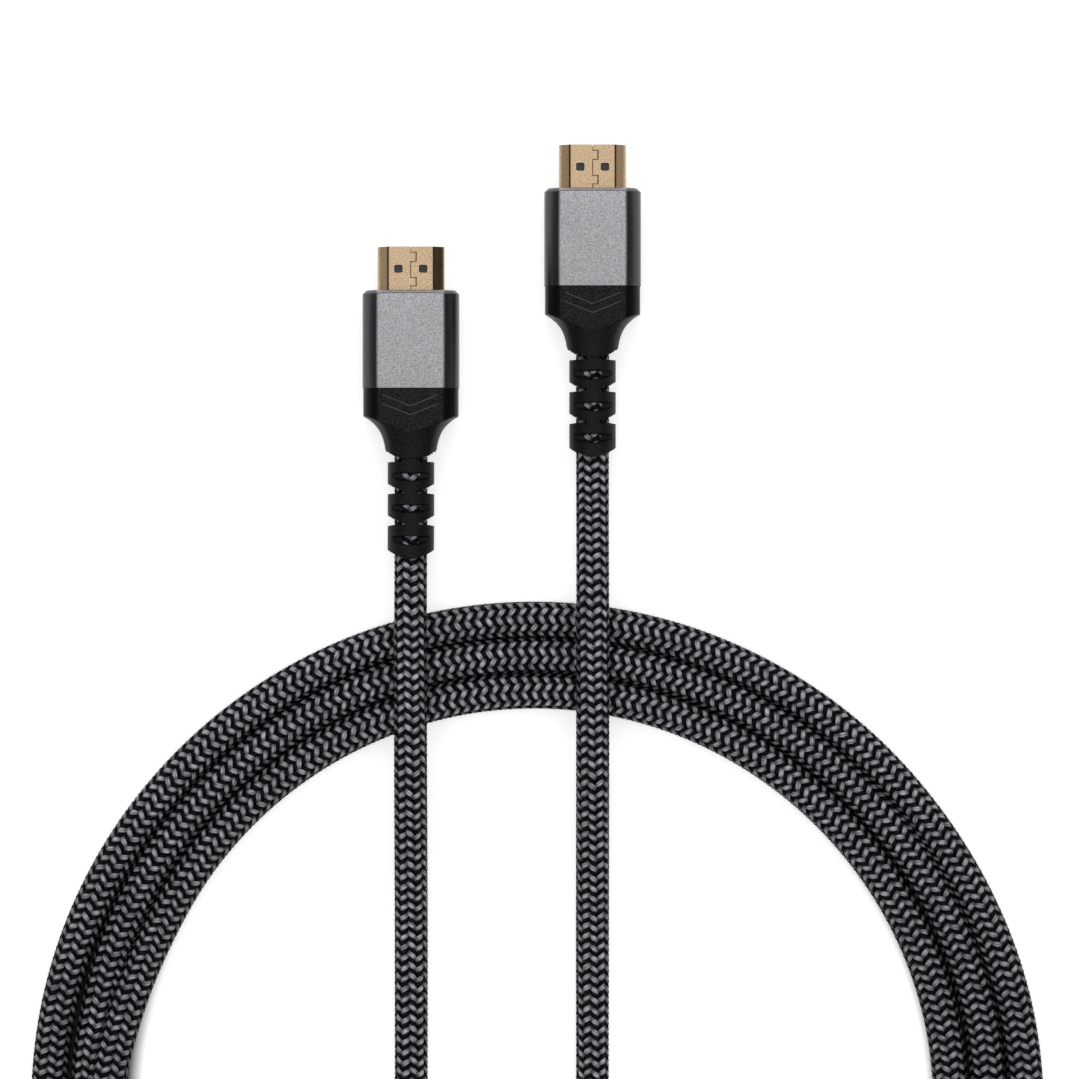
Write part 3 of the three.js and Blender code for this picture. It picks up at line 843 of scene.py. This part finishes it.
relief = {
    "step": 0.15,  # the collar is this much smaller than the housing
    "neck": 5.0, "flare": 5.03, "flareLength": 2.6,
    "faceEnd": 3.6, "faceSlope": 0.373,  # the faces end in a V, that far past the collar's end
    "radius": 4.82, "inside": 2.9,
    "lead": 0.45, "pitch": 6.55, "segments": 3, "slot": 1.05, "webHalf": 1.25,
    "windowFromSlot": 3.5, "windowLength": 1.75, "windowHalf": 4.2, "windowFloor": 2.85,
    "endBow": 0.073, "endDrop": 0.5, "wallWidth": 0.2, "columns": 152,
    "ridgeHalf": 5.75, "ridgeDrop": 2.3, "ridgePitch": 1.85, "ridgeFrom": 1.45, "ridgeWidth": 0.32,
    "ridgeHeight": 0.12,
    "collarFillet": 0.12, "slotFillet": 0.3, "webFillet": 0.5,
    "slotSlope": 0.3, "slotFlare": 0.25,  # how far a slot's front edge moves for each mm outwards
    "windowFillet": 0.2, "windowEndFillet": 0.3, "windowBow": 0.12, "windowHeight": 2.1,
    "frontEdge": 0.08, "collarMiddle": 32.0, "shoulderStep": 0.33, "reliefStep": 0.2, "pastEnd": 0.65,
    "neckGrain": 0.45, "nearFace": 0.06,
}


# The lesser of two surfaces with a small fillet of size k
def smoothLess(a, b, k):
    mixed = np.clip(0.5 + 0.5 * (b - a) / k, 0, 1)
    return b * (1 - mixed) + a * mixed - k * mixed * (1 - mixed)


# The moulding's radius at each angle and place: the collar's section, or a neck whose flare falls
# off exponentially, or the relief. The flare is shifted along the cable where it meets the faces,
# so that they end in a V. Slots and windows sink it into the cable where the distance inside
# their edges is positive.
def reliefRadius(angle, place):
    r = relief
    section = sleeveRing(14) * [1 - r["step"] / housing["half"], 1 - r["step"] / housing["top"]]
    turn = np.mod(np.arctan2(section[:, 1], section[:, 0]), 2 * np.pi)
    order = np.argsort(turn)
    collar = np.interp(angle, turn[order], np.hypot(*section.T)[order], period=2 * np.pi)
    face, edge = housing["top"] - r["step"], housing["flatHalf"]
    onFace = np.minimum(face / np.maximum(np.abs(np.tan(angle)), 0.01), edge)
    natural = -r["flareLength"] * np.log((np.hypot(onFace, face) - r["neck"]) / r["flare"])
    steep = np.arctan2(np.abs(np.sin(angle)), np.abs(np.cos(angle))) / np.arctan2(face, edge)
    shift = (r["faceEnd"] - r["faceSlope"] * onFace - natural) * np.clip(steep, 0, 1)
    beyondCollar = place - connector["collarEnd"] - shift
    flare = r["neck"] + r["flare"] * np.exp(-beyondCollar / r["flareLength"])
    outer = smoothLess(collar, flare, r["collarFillet"])
    first = connector["reliefStart"] + r["lead"]
    outer = np.where(place > first + 0.5 * r["slot"], r["radius"], outer)
    x, z = np.abs(outer * np.cos(angle)), np.abs(outer * np.sin(angle))
    slots = windows = np.full(outer.shape, -9.0)
    for i in range(r["segments"]):
        front = first + i * r["pitch"]
        outward = x - cableRadius
        top = front - r["slotSlope"] * outward - r["slotFlare"] * np.maximum(outward, 0)
        slot = smoothLess(place - top, front + r["slot"] - place, r["slotFillet"])
        slot = smoothLess(slot, x - r["webHalf"], r["webFillet"])
        bow = np.clip(1 - (x / r["windowHalf"]) ** 2, 0.0001, 1)
        high = front + r["windowFromSlot"] - r["windowBow"] * bow
        low = high + r["windowLength"] * np.sqrt(bow)
        window = smoothLess(place - high, low - place, r["windowFillet"])
        window = smoothLess(window, z - r["windowHeight"], r["windowEndFillet"])
        slots, windows = np.maximum(slots, slot), np.maximum(windows, window)
    slots = np.maximum(slots, place - (connector["end"] + r["endDrop"] - r["endBow"] * x * x))
    half = 0.5 * r["wallWidth"]
    flatFloor = r["windowFloor"] / np.maximum(np.abs(np.sin(angle)), 0.01)
    floor = np.minimum(outer, np.maximum(r["inside"], flatFloor))
    outer = outer + (floor - outer) * ease(-half, half, windows)
    return outer + (r["inside"] - outer) * ease(-half, half, slots)


# Two raised V-shaped ridges on the collar's upper and lower faces, as swept wedges
def ridges(letter):
    r = relief
    face = housing["top"] - r["step"]
    bodies = []
    share = np.array([-1.0, -0.02, 0.02, 1.0])
    section = [(-0.5, -0.3), (-0.32, 1.0), (0.05, 1.0), (0.5, -0.3)]  # across, and up from the face
    for side in (1, -1):
        for i in range(2):
            x = np.broadcast_to(share * r["ridgeHalf"], (4, 4))
            start = connector["housingRear"] + r["ridgeFrom"] + i * r["ridgePitch"]
            across = np.array([a for a, up in section])[:, None] * r["ridgeWidth"]
            up = np.array([up for a, up in section])[:, None] * r["ridgeHeight"]
            place = start + r["ridgeDrop"] * (1 - np.abs(share))[None, :] + across
            z = side * (face + np.broadcast_to(up, x.shape))
            points = atConnector(letter, np.stack([x, z], axis=-1), place)
            caps = np.array([[0, 4, 8, 12], [15, 11, 7, 3]])
            faces = np.concatenate([gridFaces(4, 4, wrapRows=True), caps])
            bodies.append((points, facingOut(points, faces)))
    return bodies


# Rings of points round the axis at each place, closed on the axis at both ends, and the ridges.
# The whole moulding is lifted with the cable where the tail climbs.
def makeRelief(letter):
    r = relief
    crease = np.degrees(np.arctan2(housing["top"], housing["flatHalf"]))
    turn = np.arange(r["columns"]) * 360 / r["columns"]
    creases = [half + side * crease for half in (0, 180) for side in (1, -1)]
    sharpTurns = np.array([at + off for at in creases for off in (-0.6, 0, 0.6)])
    turn = np.unique(np.round(np.mod(np.concatenate([turn, sharpTurns]), 360), 3))
    rear, end = connector["housingRear"], connector["collarEnd"]
    collarPlaces = [rear, rear + r["frontEdge"], r["collarMiddle"], end - 0.1, end - 0.03, end + 0.03]
    shoulder = np.arange(end + 0.2, connector["reliefStart"] - 0.2, r["shoulderStep"])
    fine = np.arange(connector["reliefStart"], connector["end"] + r["pastEnd"], r["reliefStep"])
    places = np.concatenate([collarPlaces, shoulder, fine])
    angle, place = np.meshgrid(np.radians(turn), places)
    radius = reliefRadius(angle, place)
    radius[0] -= r["frontEdge"]
    axis, rim = np.zeros_like(radius[:1]), np.full_like(radius[:1], r["inside"])
    radius = np.concatenate([axis, radius, rim, axis])
    places = np.concatenate([places[:1], places, places[-1:], places[-1:]])
    angle = np.concatenate([angle[:1], angle, angle[-1:], angle[-1:]])
    outlines = np.stack([radius * np.cos(angle), radius * np.sin(angle)], axis=-1)
    points = atConnector(letter, outlines, places[:, None])
    faces = gridFaces(len(places), len(turn), wrapColumns=True)
    bodies = [(points, facingOut(points, faces)), *ridges(letter)]
    points, faces = joined(bodies)
    up = np.abs(points[:, 2] - connector["axisHeight"])
    face = housing["top"] - r["step"]
    flat = up > face - r["nearFace"]
    # Painted highlight on the ridges' tops, which stand above the flat faces
    ridgeHighlight = (up > face + r["nearFace"]).astype(float)
    fromTip = connector["tip"][letter] - points[:, 1]
    grain = np.where(flat, 1.0, np.where(fromTip > end + 1, r["neckGrain"], 0.0))
    points[:, 2] += lift(letter, points[:, 1]) - connector["axisHeight"]
    values = {"grain": grain, "ridgeHighlight": ridgeHighlight}
    return addPiece(f"relief_{letter}", points, faces, finishes["black"], sharp=35, values=values, weld=True)


for letter in "ab":
    made = [makeShell(letter), makeHousing(letter), makeRelief(letter)]
    nodes = [f"plug_shell_{letter}", f"aluminium_housing_{letter}", f"strain_relief_{letter}"]
    slots = ["gold_plate", "anodised_aluminium", "moulded_black"]
    for piece, node, slotName in zip(made, nodes, slots):
        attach(piece, "root")
        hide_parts(node)
print("connectors made")

# The insulators and contacts stay as the frame has them, and get their finish
for name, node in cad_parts.items():
    if name.startswith("plug_insulator"):
        node.material_slots[0].material = finishes["insulator"]
    elif name.startswith("contact_"):
        node.material_slots[0].material = finishes["contact"]

(line[::4] * mm).tolist()

# Floor and light
light = {
    "zenith": 1.5, "brightAbove": 0.9,  # the sky's strength overhead, and the height where it is full
    "horizon": 0.05, "darkBelow": 0.55,
    "glow": 1.2, "glowTop": 0.3,  # added along the horizon, up to that height
    "key": 1.5, "keyPlace": (0.02, 0.75, 0.75), "keySize": (0.5, 0.25), "keyTilt": -45.0,
    "table": 0.6, "tableHalf": 2000.0,
    "darkRing": (8.5, 11.5),  # from the middle turn: where the table is dark, and where it is clear
}


# The table is pale and glows, except for painted shade under the coil: a dark ring about the turns'
# middle radius, with the oval taken out by scaling y below the centre
def makeFloor():
    r = Recipe("floor")
    place = r.place()
    grain = r.noise(place, 60.0, 2.0)
    x = r.along("X", place) - cable["centre"][0] * mm
    y = r.along("Y", place) - cable["centre"][1] * mm
    below = cable["middleTurn"] / (cable["middleTurn"] + cable["oval"])
    y = y * r.node("MapRange", {}, [y, -0.0001, 0.0001, below, 1.0])
    away = r.node("Math", {"operation": "SQRT"}, [x * x + y * y]) - cable["middleTurn"] * mm
    start, end = (reach * mm for reach in light["darkRing"])
    clear = r.spread(r.absolute(away), 0.0, 1.0, start, end)
    pale = r.mix(grain, (0.84, 0.84, 0.84, 1), (0.86, 0.86, 0.86, 1))
    r.finish(
        # Painted shade: the table's colour and glow go dark in the ring under the coil
        Base_Color=r.mix(clear, (0.03, 0.03, 0.03, 1), pale),
        Roughness=0.9,
        Emission_Color=r.mix(clear, (0, 0, 0, 1), (1, 1, 1, 1)),
        Emission_Strength=light["table"],
    )
    half = light["tableHalf"]
    points = np.array([(-half, -half, 0), (half, -half, 0), (half, half, 0), (-half, half, 0)])
    floor = addPiece("floor", points, np.array([[0, 1, 2, 3]]), r.material)


# The studio's own light: bright overhead, dark below that, and a low glow along the horizon
def makeWorld():
    world = bpy.data.worlds.new("studio")
    world.use_nodes = True
    nodes, links = world.node_tree.nodes, world.node_tree.links
    nodes.clear()
    where = nodes.new("ShaderNodeTexCoord")
    split = nodes.new("ShaderNodeSeparateXYZ")
    level = nodes.new("ShaderNodeMapRange")
    level.interpolation_type = "SMOOTHSTEP"
    level.inputs["From Min"].default_value = light["darkBelow"]
    level.inputs["From Max"].default_value = light["brightAbove"]
    level.inputs["To Min"].default_value = light["horizon"]
    level.inputs["To Max"].default_value = light["zenith"]
    low = nodes.new("ShaderNodeMapRange")
    low.inputs["From Max"].default_value = light["glowTop"]
    low.inputs["To Min"].default_value, low.inputs["To Max"].default_value = light["glow"], 0.0
    both = nodes.new("ShaderNodeMath")
    glow = nodes.new("ShaderNodeBackground")
    end = nodes.new("ShaderNodeOutputWorld")
    links.new(where.outputs["Generated"], split.inputs[0])
    links.new(split.outputs["Z"], level.inputs["Value"])
    links.new(split.outputs["Z"], low.inputs["Value"])
    links.new(level.outputs[0], both.inputs[0])
    links.new(low.outputs[0], both.inputs[1])
    links.new(both.outputs[0], glow.inputs["Strength"])
    links.new(glow.outputs[0], end.inputs["Surface"])
    bpy.context.scene.world = world


# A soft lamp behind the plugs, tilted down towards the coil
def makeKey():
    data = bpy.data.lights.new("key", "AREA")
    data.shape, data.energy = "RECTANGLE", light["key"]
    data.size, data.size_y = light["keySize"]
    lamp = bpy.data.objects.new("key", data)
    lamp.location, lamp.rotation_euler = light["keyPlace"], (np.radians(light["keyTilt"]), 0, 0)
    lamp.visible_camera = False
    bpy.context.collection.objects.link(lamp)


makeFloor()
makeWorld()
makeKey()
bpy.context.scene.view_settings.view_transform = "Standard"
print("stage made")
